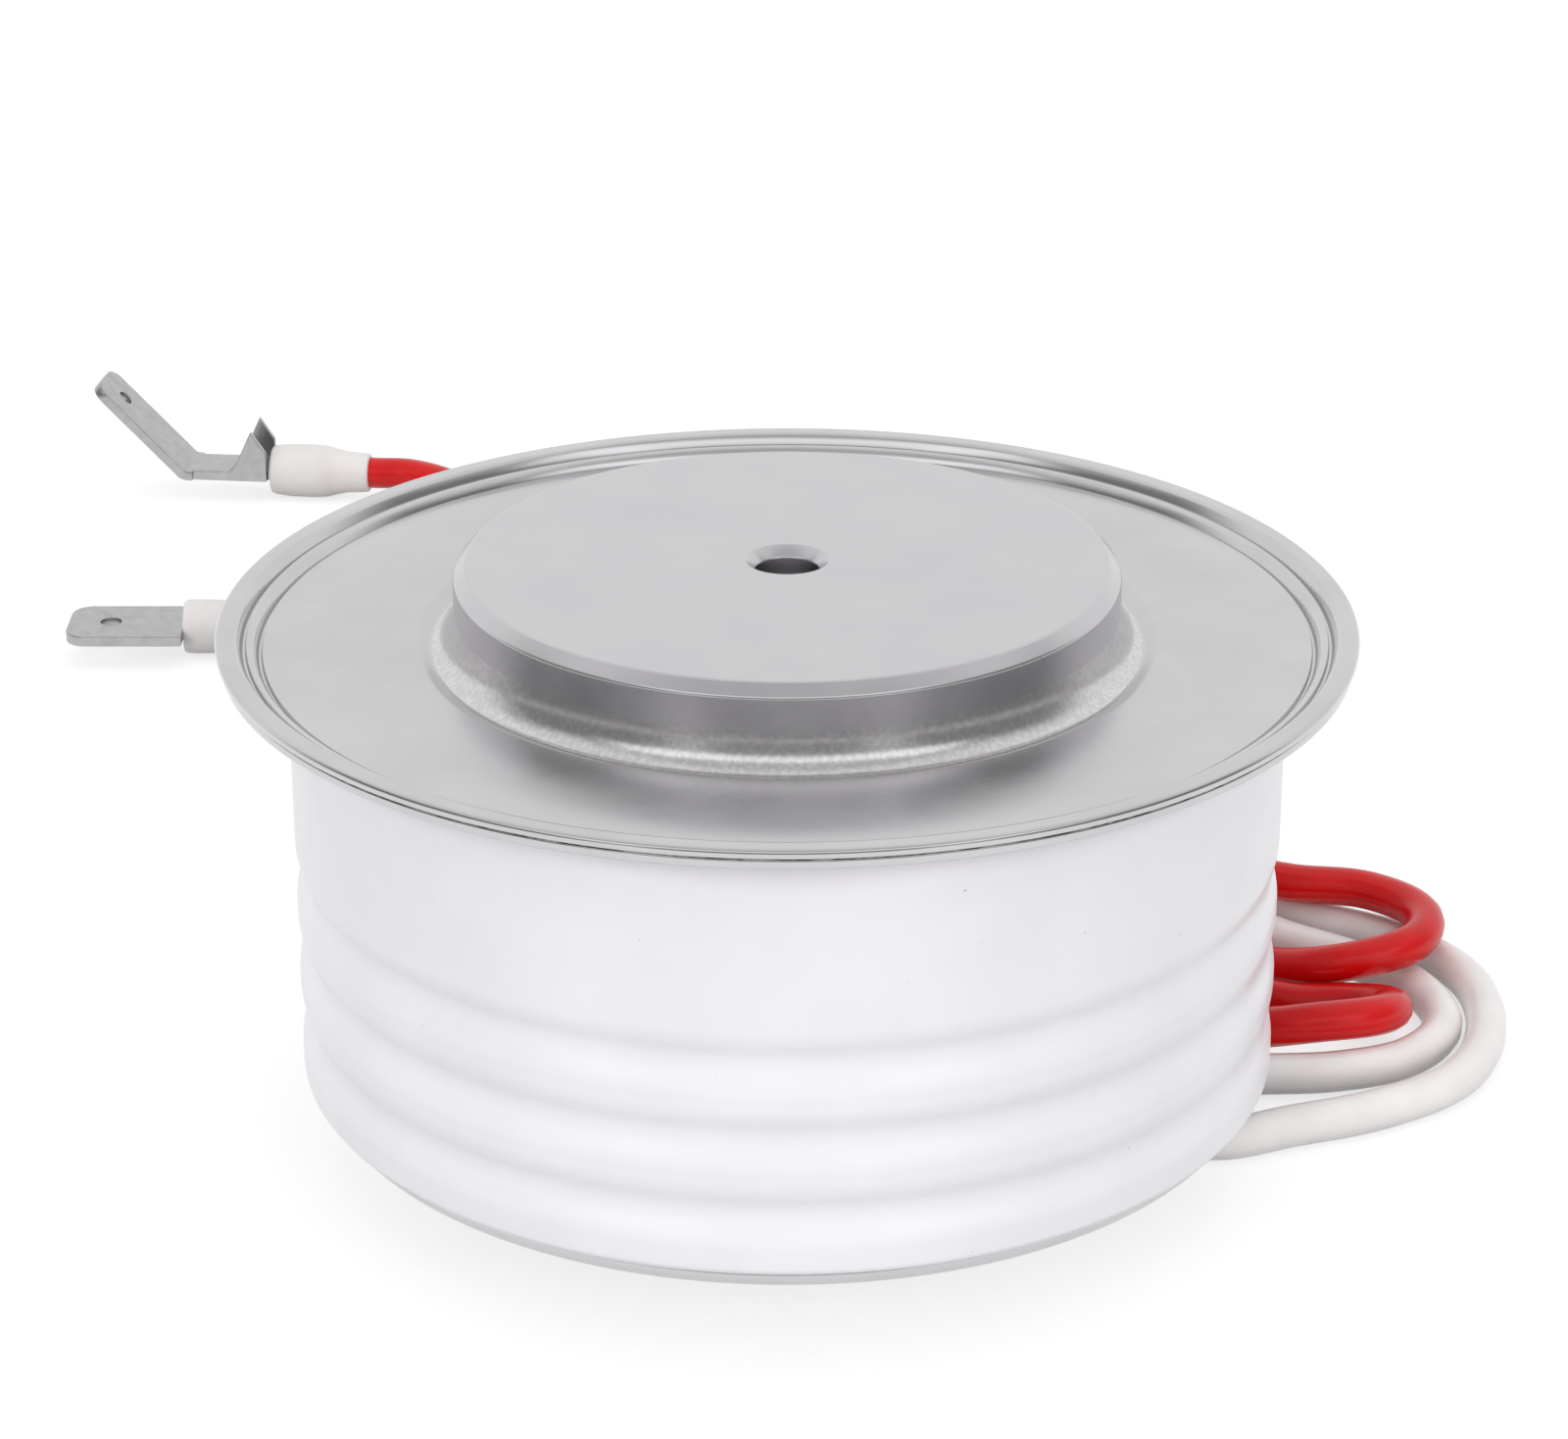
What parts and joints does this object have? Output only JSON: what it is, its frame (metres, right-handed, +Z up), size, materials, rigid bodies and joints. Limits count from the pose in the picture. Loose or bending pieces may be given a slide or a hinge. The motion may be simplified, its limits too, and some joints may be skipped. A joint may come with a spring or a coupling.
{
  "type": "disc thyristor",
  "caption": "Disc (capsule) thyristor: ribbed ceramic ring between nickel-plated copper poles, wide welded rim, gate and auxiliary cathode leads with tab terminals.",
  "frame": {"origin": "centre of the lower (anode) contact face", "axes": "+Z up along the clamping axis to the cathode face; +Y to the back, where the leads leave"},
  "size_m": [0.1006, 0.1458, 0.036],
  "materials": {
    "white_ceramic": "gloss",
    "nickel_plate": "satin",
    "pressed_nickel": "gloss",
    "silver_braze": "gloss",
    "molybdenum": "satin",
    "silicon": "gloss",
    "silicone_rubber": "matte",
    "ptfe": "matte",
    "contact_alloy": "satin",
    "spring_steel": "satin",
    "tin_plate": "satin",
    "white_insulation": "gloss",
    "red_insulation": "gloss",
    "clear_sleeve": "gloss"
  },
  "bodies": {
    "root": {"ceramic_ring": "white_ceramic", "anode_pole": "nickel_plate", "anode_flange": "pressed_nickel", "cathode_pole": "nickel_plate", "cathode_flange": "pressed_nickel", "weld_ring": "pressed_nickel", "anode_moly_disc": "molybdenum", "silicon_wafer": "silicon", "edge_coating": "silicone_rubber", "cathode_moly_disc": "molybdenum", "locating_ring": "ptfe", "gate_pin": "contact_alloy", "gate_spring": "spring_steel", "gate_insulator": "ptfe", "gate_wire": "contact_alloy", "gate_wire_sleeve": "ptfe", "gate_tube": "pressed_nickel", "gate_joint_sleeve": "clear_sleeve", "cathode_lug": "tin_plate", "cathode_joint_sleeve": "clear_sleeve", "gate_lead": "white_insulation", "cathode_lead": "red_insulation", "gate_terminal": "tin_plate", "cathode_terminal": "tin_plate", "gate_terminal_sleeve": "clear_sleeve", "cathode_terminal_sleeve": "clear_sleeve", "lid_braze": "silver_braze"}
  },
  "joints": []
}
